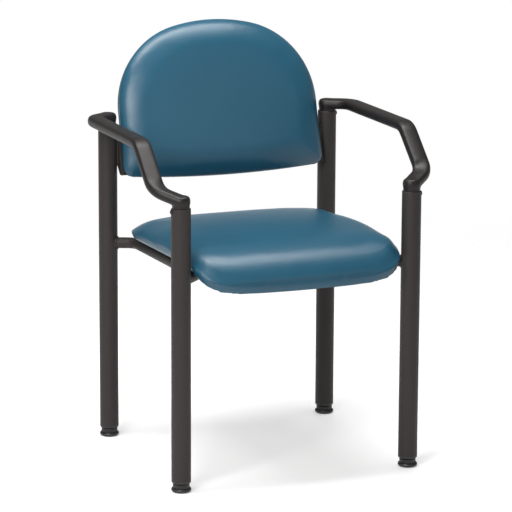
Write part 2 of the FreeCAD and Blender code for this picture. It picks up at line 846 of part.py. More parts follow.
def make_back_shell():
    """Moulded rear cover: a shallow dish with four screw bosses and a slot for each bracket."""
    depth = back_shell_depth
    wall = back_shell_wall
    rim = -plug_clearance
    outer = back_prism(back_shell_inset, -depth, rim)
    outer = outer.makeFillet(back_shell_round, edges_at(outer, -depth))
    hollow = back_prism(back_shell_inset + wall, wall - depth, 0)
    hollow = hollow.makeFillet(back_shell_round - wall, edges_at(hollow, wall - depth))
    shell = outer.cut(hollow)
    for place in shell_screw_places():
        foot = place - up * (depth - wall / 2)
        shell = shell.fuse(cylinder(shell_boss_diameter / 2, foot, place + up * rim))
    for place in shell_screw_places():
        hole = shell_screw_diameter / 2 + plug_clearance
        sink = shell_screw_head_diameter / 2 + fit_gap
        sink_floor = place - up * (depth - shell_screw_head_height - fit_gap)
        shell = shell.cut(cylinder(hole, place - up * 2 * depth, place))
        shell = shell.cut(cylinder(sink, place - up * 2 * depth, sink_floor))
    slot = bracket_tab(fit_gap)
    shell = shell.cut(slot).cut(slot.mirror(Vector(), across))
    return max(shell.Solids, key=lambda solid: solid.Volume)


def make_back_bracket(side):
    """Bent steel plate: a tab bolted to the board, and a flange welded to the inside of the leg."""
    tab = bracket_tab(0)
    for place in back_bolt_places(1):
        hole = bolt_diameter / 2 + bolt_hole_clearance
        tab = tab.cut(cylinder(hole, place - up * back_shell_depth, place))
    tab = tab.transformed(back_frame.toMatrix())
    outer = leg_x - leg_radius - plug_clearance
    inner = outer - bracket_thickness
    low = back_frame.multVec(Vector(inner, bracket_tab_lower, -fit_gap))
    high = back_frame.multVec(Vector(inner, bracket_tab_lower + bracket_tab_height, -fit_gap))
    corners = [
        low,
        high,
        Vector(inner, leg_y, high.z),
        Vector(inner, leg_y, low.z + leg_radius),
        Vector(inner, leg_y - leg_radius, low.z),
        low,
    ]
    flange = Part.Face(Part.makePolygon(corners)).extrude(across * bracket_thickness)
    bracket = tab.fuse(flange).removeSplitter()
    return bracket if side > 0 else bracket.mirror(Vector(), across)


def make_bracket_welds():
    """A bead down the front corner between each bracket's flange and its leg."""
    corner_depth = leg_y - math.sqrt(leg_radius**2 - (leg_radius - bracket_bead / 2) ** 2)
    face = leg_x - leg_radius - plug_clearance
    high = back_frame.multVec(Vector(0, bracket_tab_lower + bracket_tab_height, -fit_gap)).z
    low = back_frame.multVec(Vector(0, bracket_tab_lower, -fit_gap)).z + leg_radius
    start = Vector(face + bracket_bead_set_back, corner_depth, low)
    bar = Part.makeCylinder(bracket_bead / 2 + bracket_bead_set_back, high - low, start)
    keep = Part.makeBox(leg_radius, leg_radius, high - low, Vector(face, leg_y - leg_radius, low))
    right = bar.common(keep).cut(leg_bar(1, 1, leg_radius))
    right = max(right.Solids, key=lambda solid: solid.Volume)
    return [right, right.mirror(Vector(), across)]


def make_back_bolts():
    seat = -fit_gap - bracket_thickness
    tip = back_board_thickness + fit_gap - plug_clearance
    places = [place for side in (-1, 1) for place in back_bolt_places(side)]
    return [bolt(place + up * seat, place + up * tip) for place in places]


def make_back_tee_nuts():
    front = back_board_thickness + fit_gap
    length = back_board_thickness - 2 * plug_clearance
    places = [place for side in (-1, 1) for place in back_bolt_places(side)]
    return [tee_nut(place + up * front, -up, length) for place in places]


def make_shell_screws():
    seat = -back_shell_depth + shell_screw_head_height + fit_gap
    screws = []
    for place in shell_screw_places():
        head_top = place + up * (seat - shell_screw_head_height)
        head = cylinder(shell_screw_head_diameter / 2, head_top, place + up * seat)
        shank = cylinder(
            shell_screw_diameter / 2, place + up * seat, place + up * (seat + shell_screw_length)
        )
        screws.append(head.fuse(shank))
    return screws


def placed(shapes, frame):
    """Several solids as one group, moved from their own frame into the chair's."""
    return Part.makeCompound([shape.transformed(frame.toMatrix()) for shape in shapes])


def build():
    nodes = {}
    glide = {"ferrule": make_ferrule(), "stud": make_stud(), "collar": make_collar(), "foot": make_foot()}
    for name, (side, end) in leg_places.items():
        nodes["leg_" + name] = make_leg(side, end)
        for piece, shape in glide.items():
            nodes["glide_" + piece + "_" + name] = shape.translated(Vector(side * leg_x, end * leg_y, 0))
    for name, side in (("left", -1), ("right", 1)):
        nodes["side_rail_" + name] = make_side_rail(side)
        nodes["arm_" + name] = make_arm(side)
        nodes["back_bracket_" + name] = make_back_bracket(side)
    for name, depth in cross_rail_places().items():
        nodes[name] = make_cross_rail(depth)
    nodes["frame_welds"] = Part.makeCompound(make_frame_welds() + make_bracket_welds())
    nodes["arm_screws"] = Part.makeCompound(make_arm_screws())
    nodes["seat_cushion"] = placed([make_seat_cushion()], seat_frame)
    nodes["seat_board"] = placed([make_seat_board()], seat_frame)
    nodes["seat_dust_cover"] = placed([make_dust_cover()], seat_frame)
    nodes["seat_bolts"] = placed(make_seat_bolts(), seat_frame)
    nodes["seat_tee_nuts"] = placed(make_seat_tee_nuts(), seat_frame)
    nodes["back_cushion"] = placed([make_back_cushion()], back_frame)
    nodes["back_board"] = placed([make_back_board()], back_frame)
    nodes["back_shell"] = placed([make_back_shell()], back_frame)
    nodes["back_bolts"] = placed(make_back_bolts(), back_frame)
    nodes["back_tee_nuts"] = placed(make_back_tee_nuts(), back_frame)
    nodes["back_shell_screws"] = placed(make_shell_screws(), back_frame)
    return nodes


def export(nodes):
    """Writes each piece with the chair's origin on the floor, under the middle of its outline."""
    box = Part.makeCompound(list(nodes.values())).optimalBoundingBox(False, False)
    shift = Vector(0, -(box.YMin + box.YMax) / 2, 0)
    os.makedirs("parts", exist_ok=True)
    for name, shape in nodes.items():
        shape.translated(shift).exportStep("parts/" + name + ".step")
    size = [round(length, 2) for length in (box.XLength, box.YLength, box.ZLength)]
    print("moved by", round(shift.y, 3), "to centre a chair of", size)


export(build())
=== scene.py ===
import math

import bpy
from mathutils import Matrix, Quaternion, Vector


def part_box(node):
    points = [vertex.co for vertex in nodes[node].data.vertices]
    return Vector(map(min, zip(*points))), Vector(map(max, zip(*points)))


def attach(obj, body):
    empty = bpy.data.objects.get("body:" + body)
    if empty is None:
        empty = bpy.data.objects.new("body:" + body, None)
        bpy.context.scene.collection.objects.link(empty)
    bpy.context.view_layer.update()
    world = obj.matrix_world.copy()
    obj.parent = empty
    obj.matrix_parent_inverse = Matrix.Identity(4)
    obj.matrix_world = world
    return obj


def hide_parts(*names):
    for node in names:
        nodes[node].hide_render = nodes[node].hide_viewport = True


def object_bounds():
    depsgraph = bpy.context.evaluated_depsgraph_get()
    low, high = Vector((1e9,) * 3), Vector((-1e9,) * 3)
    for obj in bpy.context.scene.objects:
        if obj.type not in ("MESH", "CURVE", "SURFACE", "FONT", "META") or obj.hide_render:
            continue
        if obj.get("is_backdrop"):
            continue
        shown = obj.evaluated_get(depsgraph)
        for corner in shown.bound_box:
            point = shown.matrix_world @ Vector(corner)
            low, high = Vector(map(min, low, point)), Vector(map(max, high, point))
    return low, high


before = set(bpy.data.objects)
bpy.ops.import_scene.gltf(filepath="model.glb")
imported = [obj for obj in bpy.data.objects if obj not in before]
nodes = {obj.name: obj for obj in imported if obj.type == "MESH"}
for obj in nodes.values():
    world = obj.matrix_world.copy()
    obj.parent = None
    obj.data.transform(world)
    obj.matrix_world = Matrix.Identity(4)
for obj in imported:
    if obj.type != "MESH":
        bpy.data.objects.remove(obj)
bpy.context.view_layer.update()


# Legs, side rails and cross rails
# Round and bent steel tube, welded into one frame. The frame is shot with a charcoal powder coat,
# which bakes to a satin skin with a fine orange peel and slightly uneven tone.
leg_names = ("front_left", "front_right", "rear_left", "rear_right")
noise_low = 0.3
noise_high = 0.7


class Shade:
    """One socket in a material's nodes. Sums and products of shades add the Math nodes they need."""

    def __init__(self, tree, socket):
        self.tree = tree
        self.socket = socket

    def node(self, kind, settings, inputs, output=0):
        """A new node: its settings are made first, then its sockets are set or linked."""
        made = self.tree.nodes.new(kind)
        for name, value in settings.items():
            setattr(made, name, value)
        for key, value in inputs.items():
            if isinstance(value, Shade):
                self.tree.links.new(value.socket, made.inputs[key])
            else:
                made.inputs[key].default_value = value
        return Shade(self.tree, made.outputs[output])

    def math(self, operation, first, second):
        return self.node("ShaderNodeMath", {"operation": operation}, {0: first, 1: second})

    def __add__(self, other):
        return self.math("ADD", self, other)

    def __rsub__(self, other):
        return self.math("SUBTRACT", other, self)

    def __mul__(self, other):
        return self.math("MULTIPLY", self, other)

    __radd__ = __add__
    __rmul__ = __mul__

    def span(self, start, end, low=0.0, high=1.0):
        """This shade's stretch from start to end, spread from low to high and held beyond them."""
        ends = {"From Min": start, "From Max": end, "To Min": low, "To Max": high}
        return self.node("ShaderNodeMapRange", {"clamp": True}, {"Value": self, **ends})

    def spread(self, low, high):
        """A noise, whose values crowd round the middle, spread from low to high."""
        return self.span(noise_low, noise_high, low, high)

    def between(self, first, second):
        """The first colour where this shade is 0, and the second where it is 1."""
        return self.node("ShaderNodeMix", {"data_type": "RGBA"}, {0: self, 6: first, 7: second}, 2)

    def noise(self, size, detail=2.0, roughness=0.5):
        """Cloudy noise on this place, with lumps about as wide as size, in metres."""
        inputs = {"Vector": self, "Scale": 1 / size, "Detail": detail, "Roughness": roughness}
        return self.node("ShaderNodeTexNoise", {}, inputs)

    def cells(self, size, feature="F1"):
        """A pattern of cells on this place, each about as wide as size, in metres."""
        inputs = {"Vector": self, "Scale": 1 / size}
        return self.node("ShaderNodeTexVoronoi", {"feature": feature}, inputs)

    def upward(self):
        """The height of this place, or how far this direction points up."""
        return self.node("ShaderNodeSeparateXYZ", {}, {0: self}, 2)


def paint(red, green, blue):
    """A colour as it is read off a screen, 0 to 255, as the shader wants it."""
    shares = [value / 255 for value in (red, green, blue)]
    return [s / 12.92 if s < 0.04045 else ((s + 0.055) / 1.055) ** 2.4 for s in shares] + [1.0]


def new_material(name, **constants):
    """A Principled material, its shader and the place on the piece, in metres."""
    made = bpy.data.materials.new(name)
    made.use_nodes = True
    tree = made.node_tree
    shader = tree.nodes["Principled BSDF"]
    for socket, value in constants.items():
        shader.inputs[socket.replace("_", " ")].default_value = value
    place = Shade(tree, tree.nodes.new("ShaderNodeTexCoord").outputs["Object"])
    return made, shader, place


def finish_material(shader, colour, roughness, height, depth):
    """Links what varies over the surface: its colour, its roughness and a relief of that depth."""
    relief = height.node("ShaderNodeBump", {}, {"Height": height, "Strength": 1.0, "Distance": depth})
    for socket, value in (("Base Color", colour), ("Roughness", roughness), ("Normal", relief)):
        value.tree.links.new(value.socket, shader.inputs[socket])


def make_powder_coat():
    coat, shader, place = new_material("charcoal_powder_coat", Specular_IOR_Level=0.35)
    tone = place.noise(0.09, detail=3.0)
    speck = place.noise(0.0016, roughness=0.7)
    peel = place.noise(0.0045)
    colour = (0.7 * tone + 0.3 * speck).between(paint(39, 35, 34), paint(50, 45, 43))
    roughness = (0.6 * peel + 0.4 * tone).spread(0.5, 0.62)
    finish_material(shader, colour, roughness, 0.6 * peel + 0.4 * speck, depth=0.00022)
    return coat


def dress(material, *names):
    """Gives shown CAD pieces a material in place of the plain one that they came with."""
    for name in names:
        nodes[name].data.materials.clear()
        nodes[name].data.materials.append(material)


powder_coat = make_powder_coat()
dress(powder_coat, *["leg_" + name for name in leg_names])
dress(powder_coat, "side_rail_left", "side_rail_right", "front_cross_rail", "rear_cross_rail")
dress(powder_coat, "back_bracket_left", "back_bracket_right")


# Welds
# Beads of weld where rails meet legs and where the back brackets meet the rear legs. They are
# coated with the frame, and the coat follows the ripples that the torch left.
def make_weld_coat():
    coat, shader, place = new_material("coated_weld", Specular_IOR_Level=0.35)
    swirl = place.noise(0.004)
    ripple = place.cells(0.0022, "SMOOTH_F1")
    colour = swirl.between(paint(40, 36, 34), paint(51, 46, 44))
    roughness = swirl.spread(0.48, 0.6)
    finish_material(shader, colour, roughness, 0.7 * ripple + 0.3 * swirl, depth=0.0009)
    return coat


dress(make_weld_coat(), "frame_welds")


# Levelling glides
# Nylon ferrule, ribbed collar and swivel foot, moulded in black. Their skin has a fine stipple from
# the mould, and the foot is scuffed grey round the pad that it stands on.
scuff_height = 0.003


def make_nylon():
    nylon, shader, place = new_material("black_nylon", Specular_IOR_Level=0.5)
    tone = place.noise(0.012, detail=3.0)
    stipple = place.noise(0.0008, roughness=0.6)
    rubbed = place.noise(0.0025, detail=3.0, roughness=0.7).span(0.45, 0.65)
    scuffed = place.upward().span(0.0, scuff_height, 1.0, 0.0) * rubbed
    clean = tone.between(paint(30, 29, 29), paint(40, 38, 38))
    colour = (0.8 * scuffed).between(clean, paint(92, 88, 84))
    roughness = tone.spread(0.36, 0.5) + 0.25 * scuffed
    finish_material(shader, colour, roughness, stipple, depth=0.00012)
    return nylon


nylon = make_nylon()
for name in leg_names:
    dress(nylon, "glide_ferrule_" + name, "glide_collar_" + name, "glide_foot_" + name)


# Threaded studs and hidden hardware
# Zinc-plated steel: the glide studs with their rolled thread, the tee nuts in both boards, and the
# bolts of the backrest. The plating is bright with a faint yellowish bloom and dulls unevenly.
thread_pitch = 0.00125
thread_crest = 0.0039
thread_root = 0.0032
thread_steps = 20
merge_distance = 0.00002


def make_zinc():
    zinc, shader, place = new_material("zinc_plate", Metallic=1.0)
    bloom = place.noise(0.006, detail=3.0)
    scratch = place.noise(0.0007, detail=3.0, roughness=0.7)
    colour = bloom.between(paint(176, 174, 168), paint(206, 205, 200))
    roughness = (0.5 * bloom + 0.5 * scratch).spread(0.24, 0.42)
    finish_material(shader, colour, roughness, scratch, depth=0.00004)
    return zinc


def pick(piece):
    """Makes one object the only selected one, and the active one."""
    bpy.ops.object.select_all(action="DESELECT")
    piece.select_set(True)
    bpy.context.view_layer.objects.active = piece


def apply_modifier(piece, kind, **settings):
    """Adds a modifier to a piece, sets it and applies it."""
    pick(piece)
    bpy.ops.object.modifier_add(type=kind)
    modifier = piece.modifiers[-1]
    for name, value in settings.items():
        setattr(modifier, name, value)
    bpy.ops.object.modifier_apply(modifier=modifier.name)


def copy_to(piece, name, place):
    """Another piece of the same make, with a mesh of its own, moved to its place."""
    twin = bpy.data.objects.new(name, piece.data.copy())
    bpy.context.scene.collection.objects.link(twin)
    twin.data.transform(place)
    return twin


def threaded_stud(length):
    """A rod with a rolled thread, standing at the origin, wound up from one tooth of the thread."""
    bpy.ops.object.select_all(action="DESELECT")
    bpy.ops.mesh.primitive_plane_add(size=1)
    stud = bpy.context.object
    bpy.ops.object.mode_set(mode="EDIT")
    bpy.ops.mesh.select_all(action="SELECT")
    bpy.ops.mesh.merge(type="CENTER")
    bpy.ops.transform.translate(value=(thread_root, 0, 0))
    depth = thread_crest - thread_root
    rise = thread_pitch / 2
    bpy.ops.mesh.extrude_region_move(TRANSFORM_OT_translate={"value": (depth, 0, rise)})
    bpy.ops.mesh.extrude_region_move(TRANSFORM_OT_translate={"value": (-depth, 0, rise)})
    bpy.ops.object.mode_set(mode="OBJECT")
    apply_modifier(
        stud, "SCREW", axis="Z", angle=math.tau, screw_offset=thread_pitch,
        iterations=int(length / thread_pitch) - 1, steps=thread_steps, render_steps=thread_steps
    )
    bpy.ops.object.mode_set(mode="EDIT")
    bpy.ops.mesh.select_all(action="SELECT")
    bpy.ops.mesh.remove_doubles(threshold=merge_distance)
    bpy.ops.mesh.fill_holes(sides=0)
    bpy.ops.mesh.select_all(action="SELECT")
    bpy.ops.mesh.normals_make_consistent(inside=False)
    bpy.ops.object.mode_set(mode="OBJECT")
    stud.data.materials.clear()
    stud.data.materials.append(zinc)
    return stud


zinc = make_zinc()
dress(zinc, "seat_tee_nuts", "back_tee_nuts", "back_bolts")
stud_low, stud_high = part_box("glide_stud_front_left")
first_stud = threaded_stud(stud_high.z - stud_low.z)
for name in leg_names:
    low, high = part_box("glide_stud_" + name)
    lower_end = Vector(((low.x + high.x) / 2, (low.y + high.y) / 2, low.z))
    stud = copy_to(first_stud, "threaded_stud_" + name, Matrix.Translation(lower_end))
    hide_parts("glide_stud_" + name)
    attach(stud, "stud_" + name)
bpy.data.objects.remove(first_stud)


# Arms
# Self-skinning foam moulded round a steel core, plugged into the front and rear leg tubes. The skin
# is satin black-brown with a fine leather stipple, and its edges are soft all the way round.
arm_voxel = 0.0016
arm_smoothing = 24
smooth_factor = 0.5


def even_copy(node, name, voxel):
    """A closed copy of a CAD piece, its loose triangles merged and then meshed evenly."""
    piece = bpy.data.objects.new(name, nodes[node].data.copy())
    bpy.context.scene.collection.objects.link(piece)
    pick(piece)
    bpy.ops.object.mode_set(mode="EDIT")
    bpy.ops.mesh.select_all(action="SELECT")
    bpy.ops.mesh.remove_doubles(threshold=merge_distance)
    bpy.ops.object.mode_set(mode="OBJECT")
    apply_modifier(piece, "REMESH", mode="VOXEL", voxel_size=voxel)
    piece.data.materials.clear()
    return piece


def make_arm_skin():
    skin, shader, place = new_material("moulded_arm_skin", Specular_IOR_Level=0.33)
    tone = place.noise(0.05, detail=3.0)
    pebble = place.cells(0.0014, "SMOOTH_F1")
    stipple = place.noise(0.0009, roughness=0.6)
    colour = (0.75 * tone + 0.25 * stipple).between(paint(20, 16, 15), paint(28, 23, 21))
    roughness = (0.5 * tone + 0.5 * stipple).spread(0.38, 0.48)
    finish_material(shader, colour, roughness, 0.7 * pebble + 0.3 * stipple, depth=0.00014)
    return skin


arm_skin = make_arm_skin()
for side in ("left", "right"):
    arm = even_copy("arm_" + side, "moulded_arm_" + side, arm_voxel)
    apply_modifier(arm, "SMOOTH", factor=smooth_factor, iterations=arm_smoothing)
    pick(arm)
    bpy.ops.object.shade_smooth()
    arm.data.materials.append(arm_skin)
    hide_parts("arm_" + side)
    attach(arm, "frame")


# Screws and bolts
# Button-headed socket screws in black oxide: four hold the arms through the legs' outer faces, four
# pull the seat to the cross rails, and four smaller ones, driven further on, hold the rear shell.
head_sides = 40
head_rounding = 0.7
head_rounding_steps = 5
head_smooth_angle = math.radians(35)
socket_share = 0.42
socket_rise = 0.95
shank_sides = 20
arm_screw_drop = 0.006
seat_pitch = math.radians(1.5)
seat_down = Vector((0, math.sin(seat_pitch), -math.cos(seat_pitch)))
seat_bolt_across = 0.12
two_sides = {"left": -1, "right": 1}


def make_black_oxide():
    oxide, shader, place = new_material("black_oxide", Metallic=0.6)
    tone = place.noise(0.003, detail=3.0)
    grain = place.noise(0.0005)
    colour = tone.between(paint(34, 33, 34), paint(52, 50, 50))
    finish_material(shader, colour, tone.spread(0.34, 0.5), grain, depth=0.00003)
    return oxide


def socket_screw(diameter, height, shank_diameter, shank_length):
    """A button-headed screw, standing on the origin with its head up."""
    bpy.ops.object.select_all(action="DESELECT")
    bpy.ops.mesh.primitive_cylinder_add(vertices=head_sides, radius=diameter / 2, depth=height)
    screw = bpy.context.object
    screw.data.transform(Matrix.Translation((0, 0, height / 2)))
    bpy.ops.object.mode_set(mode="EDIT")
    bpy.ops.mesh.select_mode(type="EDGE")
    bpy.ops.mesh.select_all(action="DESELECT")
    bpy.ops.object.mode_set(mode="OBJECT")
    for edge in screw.data.edges:
        ends = [screw.data.vertices[index].co for index in edge.vertices]
        edge.select = min(end.z for end in ends) > height / 2
    bpy.ops.object.mode_set(mode="EDIT")
    bpy.ops.mesh.bevel(offset=height * head_rounding, segments=head_rounding_steps, affect="EDGES")
    bpy.ops.object.mode_set(mode="OBJECT")
    bpy.ops.object.select_all(action="DESELECT")
    bpy.ops.mesh.primitive_cylinder_add(
        vertices=6, radius=diameter * socket_share / 2, depth=height,
        location=(0, 0, height * socket_rise)
    )
    cutter = bpy.context.object
    apply_modifier(screw, "BOOLEAN", operation="DIFFERENCE", object=cutter, solver="EXACT")
    bpy.data.objects.remove(cutter)
    bpy.ops.object.select_all(action="DESELECT")
    bpy.ops.mesh.primitive_cylinder_add(
        vertices=shank_sides, radius=shank_diameter / 2, depth=shank_length,
        location=(0, 0, -shank_length / 2)
    )
    shank = bpy.context.object
    apply_modifier(screw, "BOOLEAN", operation="UNION", object=shank, solver="EXACT")
    bpy.data.objects.remove(shank)
    pick(screw)
    bpy.ops.object.shade_smooth_by_angle(angle=head_smooth_angle)
    screw.data.materials.clear()
    screw.data.materials.append(black_oxide)
    return screw


def drive(first_screw, name, bearing, outward, node):
    """A copy of a screw, in the place of a CAD one. Its head sits on bearing and points outward."""
    turn = outward.to_track_quat("Z", "Y").to_matrix().to_4x4()
    screw = copy_to(first_screw, name, Matrix.Translation(bearing) @ turn)
    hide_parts(node)
    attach(screw, "frame")


def middle(node):
    low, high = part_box(node)
    return (low + high) / 2


black_oxide = make_black_oxide()
arm_screw = socket_screw(diameter=0.009, height=0.0022, shank_diameter=0.004, shank_length=0.012)
for name in leg_names:
    low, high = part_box("leg_" + name)
    outward = Vector((1, 0, 0)) if middle("leg_" + name).x > 0 else Vector((-1, 0, 0))
    face = high.x if outward.x > 0 else low.x
    bearing = Vector((face, middle("leg_" + name).y, high.z - arm_screw_drop))
    drive(arm_screw, "arm_screw_" + name, bearing, outward, "arm_screws")
bpy.data.objects.remove(arm_screw)

seat_bolt = socket_screw(diameter=0.011, height=0.0033, shank_diameter=0.006, shank_length=0.03)
for end in ("front", "rear"):
    rail = end + "_cross_rail"
    low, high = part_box(rail)
    for side, sign in two_sides.items():
        across = Vector((sign * seat_bolt_across, 0, 0))
        bearing = middle(rail) + across + seat_down * ((high.z - low.z) / 2)
        drive(seat_bolt, "seat_bolt_" + end + "_" + side, bearing, seat_down, "seat_bolts")
bpy.data.objects.remove(seat_bolt)


# Seat board and the cloth under it
# A plywood board moulded with a rolled front edge carries the foam; the backrest's board is of the
# same plywood. The seat's underside is closed by black spun cloth with rounded corners and a hem.
board_ply = 0.0014
grain_stretch = (1.0, 0.08, 1.0)
hem_width = 0.012
cloth_thickness = 0.0006
cloth_corner = 0.03
cloth_corner_steps = 8


def make_plywood():
    ply, shader, place = new_material("beech_plywood", Specular_IOR_Level=0.35)
    stretched = place.node("ShaderNodeMapping", {}, {"Vector": place, "Scale": grain_stretch})
    grain = stretched.noise(0.004, detail=4.0, roughness=0.65)
    phase = place.upward() * (math.pi / board_ply)
    layers = phase.math("SINE", phase, 0.0)
    face = grain.spread(0.0, 1.0).between(paint(150, 112, 74), paint(196, 160, 116))
    colour = (0.25 * layers.span(-1.0, 1.0)).between(face, paint(112, 80, 50))
    finish_material(shader, colour, grain.spread(0.6, 0.75), grain, depth=0.0002)
    return ply


def make_spun_cloth():
    cloth, shader, place = new_material("black_spun_cloth", Specular_IOR_Level=0.2)
    fibre = place.noise(0.0012, detail=4.0, roughness=0.75)
    bond = place.cells(0.0018)
    colour = (0.6 * fibre + 0.4 * bond).between(paint(18, 18, 19), paint(46, 46, 48))
    finish_material(shader, colour, fibre.spread(0.85, 0.95), fibre + 0.6 * bond, depth=0.0003)
    return cloth


dress(make_plywood(), "seat_board", "back_board")
cloth_low, cloth_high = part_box("seat_dust_cover")
cloth_size = cloth_high - cloth_low
bpy.ops.object.select_all(action="DESELECT")
bpy.ops.mesh.primitive_plane_add(size=1)
dust_cover = bpy.context.object
dust_cover.name = "seat_dust_cloth"
dust_cover.data.transform(Matrix.Diagonal((cloth_size.x, cloth_size.y, 1, 1)))
bpy.ops.object.mode_set(mode="EDIT")
bpy.ops.mesh.select_all(action="SELECT")
bpy.ops.mesh.bevel(offset=cloth_corner, segments=cloth_corner_steps, affect="VERTICES")
bpy.ops.mesh.select_all(action="SELECT")
bpy.ops.mesh.inset(thickness=hem_width)
bpy.ops.transform.translate(value=(0, 0, cloth_thickness))
bpy.ops.object.mode_set(mode="OBJECT")
apply_modifier(dust_cover, "SOLIDIFY", thickness=cloth_thickness, offset=0)
dust_cover.data.transform(
    Matrix.Translation((cloth_low + cloth_high) / 2) @ Matrix.Rotation(-seat_pitch, 4, "X")
)
dust_cover.data.materials.append(make_spun_cloth())
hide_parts("seat_dust_cover")
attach(dust_cover, "frame")


# Seat cushion
# Moulded foam in a taut cover of teal vinyl, drawn over the board's edge and stapled underneath. The
# board's edge shows through as a band with a crisp ridge, sharpest round the front corners.
seat_voxel = 0.006
seat_edge_smoothing = 60
cushion_shrink = 0.0008
cushion_swell = 0.0030
cloth_frames = 20
remesh_smoothing = 4
swell_smoothing = 24
slack_smoothing = 12
edge_fullness = 0.0008
held_slope = -0.5


def make_vinyl():
    vinyl, shader, place = new_material("teal_vinyl", Specular_IOR_Level=0.5)
    tone = place.noise(0.12)
    grain = place.cells(0.0017, "DISTANCE_TO_EDGE").span(0.0, 0.25)
    pore = place.noise(0.0006)
    colour = (0.8 * tone + 0.2 * grain).between(paint(23, 73, 95), paint(31, 84, 106))
    roughness = (0.6 * tone + 0.4 * pore).spread(0.28, 0.35)
    finish_material(shader, colour, roughness, 0.8 * grain + 0.2 * pore, depth=0.00006)
    return vinyl


def stuff(piece, holds):
    """Blows a cover up like the foam in it: held points stay, and the others swell outwards."""
    start = [(vertex.co.copy(), vertex.normal.copy()) for vertex in piece.data.vertices]
    held = piece.vertex_groups.new(name="held")
    held.add([vertex.index for vertex in piece.data.vertices if holds(vertex.normal)], 1.0, "REPLACE")
    pick(piece)
    bpy.ops.object.modifier_add(type="CLOTH")
    cloth = piece.modifiers[-1]
    cloth.settings.vertex_group_mass = held.name
    cloth.settings.use_pressure = True
    cloth.settings.uniform_pressure_force = 4.0
    cloth.settings.effector_weights.gravity = 0.0
    cloth.settings.tension_stiffness = 25.0
    cloth.settings.compression_stiffness = 25.0
    cloth.settings.bending_stiffness = 2.0
    cloth.point_cache.frame_end = cloth_frames
    for step in range(1, cloth_frames + 1):
        bpy.context.scene.frame_set(step)
    bpy.ops.object.modifier_apply(modifier=cloth.name)
    bpy.context.scene.frame_set(1)
    swollen = piece.vertex_groups.new(name="swollen")
    for vertex, (place, outward) in zip(piece.data.vertices, start):
        swell = (vertex.co - place).dot(outward) / cushion_swell
        swollen.add([vertex.index], min(max(swell, 0.0), 1.0), "REPLACE")
        vertex.co = place
    bpy.ops.object.mode_set(mode="WEIGHT_PAINT")
    bpy.ops.object.vertex_group_smooth(
        group_select_mode="ACTIVE", factor=smooth_factor, repeat=swell_smoothing
    )
    bpy.ops.object.mode_set(mode="OBJECT")
    apply_modifier(
        piece, "DISPLACE", direction="NORMAL", vertex_group=swollen.name, strength=cushion_swell,
        mid_level=0.0
    )
    piece.vertex_groups.clear()


def weigh(piece, name, weight):
    """A new group on a piece, with each point's weight from 0 to 1 taken from its place."""
    group = piece.vertex_groups.new(name=name)
    for vertex in piece.data.vertices:
        group.add([vertex.index], weight(vertex.co), "REPLACE")
    return group.name


def upholster(node, name, voxel, holds, tightness, edge, edge_smoothing):
    """A stuffed vinyl piece in the place of a soft CAD solid.

    The cover is laid back on the solid where it is pulled tight, and its turned edge is rounded.
    """
    piece = even_copy(node, name, voxel)
    apply_modifier(piece, "SMOOTH", factor=smooth_factor, iterations=remesh_smoothing)
    bpy.ops.object.mode_set(mode="EDIT")
    bpy.ops.mesh.select_all(action="SELECT")
    bpy.ops.transform.shrink_fatten(value=-cushion_shrink)
    bpy.ops.object.mode_set(mode="OBJECT")
    stuff(piece, holds)
    slack = weigh(piece, "slack", lambda place: 1 - tightness(place))
    apply_modifier(
        piece, "SMOOTH", factor=smooth_factor, iterations=slack_smoothing, vertex_group=slack
    )
    apply_modifier(piece, "SUBSURF", levels=1, render_levels=1)
    tight = weigh(piece, "tight", tightness)
    apply_modifier(
        piece, "SHRINKWRAP", target=nodes[node], wrap_method="NEAREST_SURFACEPOINT",
        offset=edge_fullness, vertex_group=tight
    )
    turned = weigh(piece, "turned", edge)
    apply_modifier(
        piece, "SMOOTH", factor=smooth_factor, iterations=edge_smoothing, vertex_group=turned
    )
    piece.vertex_groups.clear()
    pick(piece)
    bpy.ops.object.shade_smooth()
    piece.data.materials.append(vinyl)
    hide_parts(node)
    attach(piece, "frame")
    return piece


def bell(offset, width):
    """A smooth bump that is 1 at no offset and fades over that width."""
    return math.exp(-((offset / width) ** 2))


def ease(value, start, end):
    """0 before start, 1 after end, with a smooth rise between them."""
    share = min(max((value - start) / (end - start), 0.0), 1.0)
    return share * share * (3 - 2 * share)


# The ridge runs straight along the seat's sides and bends down over the rolled front.
seat_height = 0.4106
ridge_height = 0.0318
roll_setback = 0.052
roll_radius = 0.130
seat_middle = (middle("leg_front_left").y + middle("leg_rear_left").y) / 2
roll_start = middle("leg_front_left").y - seat_middle + roll_setback


def on_seat(place):
    """How far a place lies towards the rear of the seat, and how high above the ridge."""
    along = place.y - seat_middle
    above = place.z - seat_height
    reach = along * math.cos(seat_pitch) - above * math.sin(seat_pitch)
    rise = along * math.sin(seat_pitch) + above * math.cos(seat_pitch)
    past = max(roll_start - reach, 0.0)
    return reach, rise - ridge_height + past ** 2 / (2 * roll_radius)


# Seen from above, the seat's outline is a rectangle with rounded corners.
seat_front_overhang = 0.049
seat_rear_gap = 0.0225
seat_squareness = 7
least_radius = 0.01
leg_half_depth = (middle("leg_rear_left").y - middle("leg_front_left").y) / 2
outline_front = -leg_half_depth - seat_front_overhang
outline_centre = (outline_front + leg_half_depth - seat_rear_gap) / 2
outline_depth = outline_centre - outline_front
outline_half_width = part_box("seat_cushion")[1].x


def seat_room(across, reach):
    """How far a place on the seat lies inside the seat's outline."""
    x = abs(across) / outline_half_width
    y = abs(outline_centre - reach) / outline_depth
    radius = max((x ** seat_squareness + y ** seat_squareness) ** (1 / seat_squareness), least_radius)
    steep_x = (x / radius) ** (seat_squareness - 1) / outline_half_width
    steep_y = (y / radius) ** (seat_squareness - 1) / outline_depth
    return max((1 - radius) / math.hypot(steep_x, steep_y), 0.0)


# The cover is tight below the ridge, and slack on the crown.
slack_height = 0.02


def seat_tightness(place):
    return 1 - ease(on_seat(place)[1], 0.0, slack_height)


